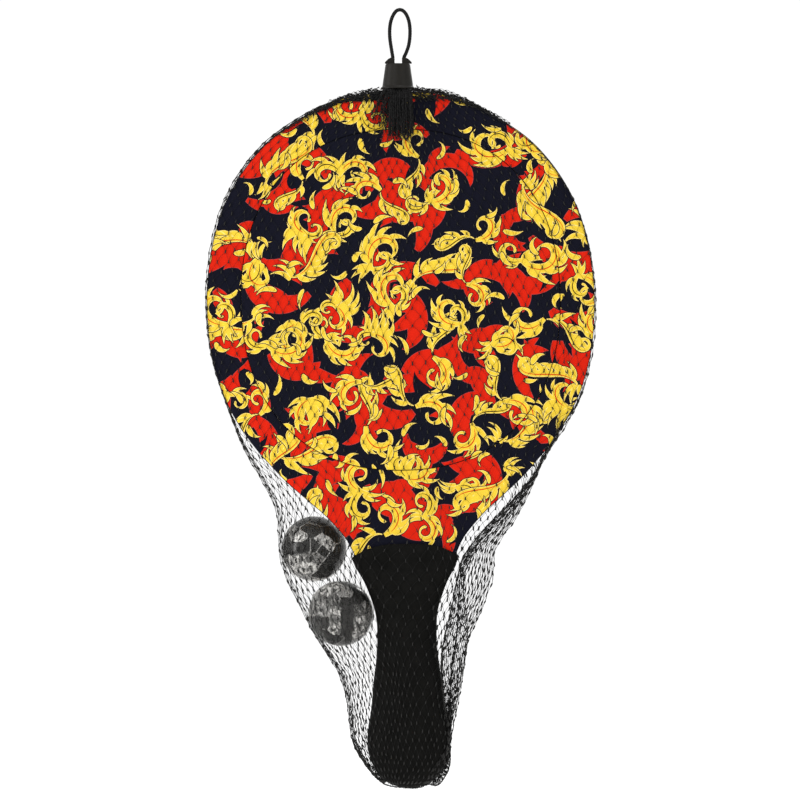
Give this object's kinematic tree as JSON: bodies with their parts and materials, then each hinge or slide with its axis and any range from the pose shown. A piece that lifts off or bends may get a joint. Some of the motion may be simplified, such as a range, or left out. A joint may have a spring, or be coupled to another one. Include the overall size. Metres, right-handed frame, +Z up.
{
  "type": "frescobol racket",
  "caption": "Round-faced wooden beach racket with printed neoprene faces and a flared foam grip, hanging by a cord loop in a carrying net with film-wrapped balls.",
  "frame": {"origin": "the point inside the top of the hang loop, where a hook carries the set", "axes": "+Z up along the racket, towards the hang loop; the printed front faces -Y; +X is to the right seen from the front"},
  "size_m": [0.2445, 0.0577, 0.4897],
  "materials": {
    "plywood": "pale veneer, edges lightly sealed",
    "plywood_cross": "darker end-grain veneer",
    "neoprene_print": "matte knit-faced neoprene, printed all over in navy, red and yellow",
    "neoprene_print_rim": "matte knit-faced neoprene, printed all over in navy, red and yellow",
    "grip_foam": "matte closed-cell foam",
    "collar_plastic": "moulded, satin",
    "loop_cord": "smooth covered cord",
    "net_thread": "fine polyethylene thread",
    "ball_rubber": "matte moulded rubber",
    "clear_film": "thin clear crinkled film"
  },
  "bodies": {
    "racket_in_net": {"face_ply_front": "plywood", "cross_ply_front": "plywood_cross", "center_ply": "plywood", "cross_ply_back": "plywood_cross", "face_ply_back": "plywood", "front_center_pad": "neoprene_print", "front_rim_pad": "neoprene_print_rim", "back_center_pad": "neoprene_print", "back_rim_pad": "neoprene_print_rim", "handle_scale_front": "plywood", "handle_scale_back": "plywood", "grip_sleeve": "grip_foam", "collar": "collar_plastic", "loop_anchor": "collar_plastic", "hang_loop": "loop_cord", "net_neck": "net_thread", "net_tuft": "net_thread", "net_bag": "net_thread", "net_bottom_seam": "net_thread"},
    "upper_ball": {"upper_ball_front_half": "ball_rubber", "upper_ball_back_half": "ball_rubber", "upper_ball_film": "clear_film"},
    "lower_ball": {"lower_ball_front_half": "ball_rubber", "lower_ball_back_half": "ball_rubber", "lower_ball_film": "clear_film"}
  },
  "joints": [
    {"name": "upper_ball_spin", "type": "hinge", "parent": "racket_in_net", "child": "upper_ball", "pos_m": [-0.0535, 0.0135, -0.3335], "axis": [0, 1, 0], "continuous": true},
    {"name": "lower_ball_spin", "type": "hinge", "parent": "racket_in_net", "child": "lower_ball", "pos_m": [-0.0367, 0.0065, -0.3736], "axis": [0, 1, 0], "continuous": true}
  ]
}
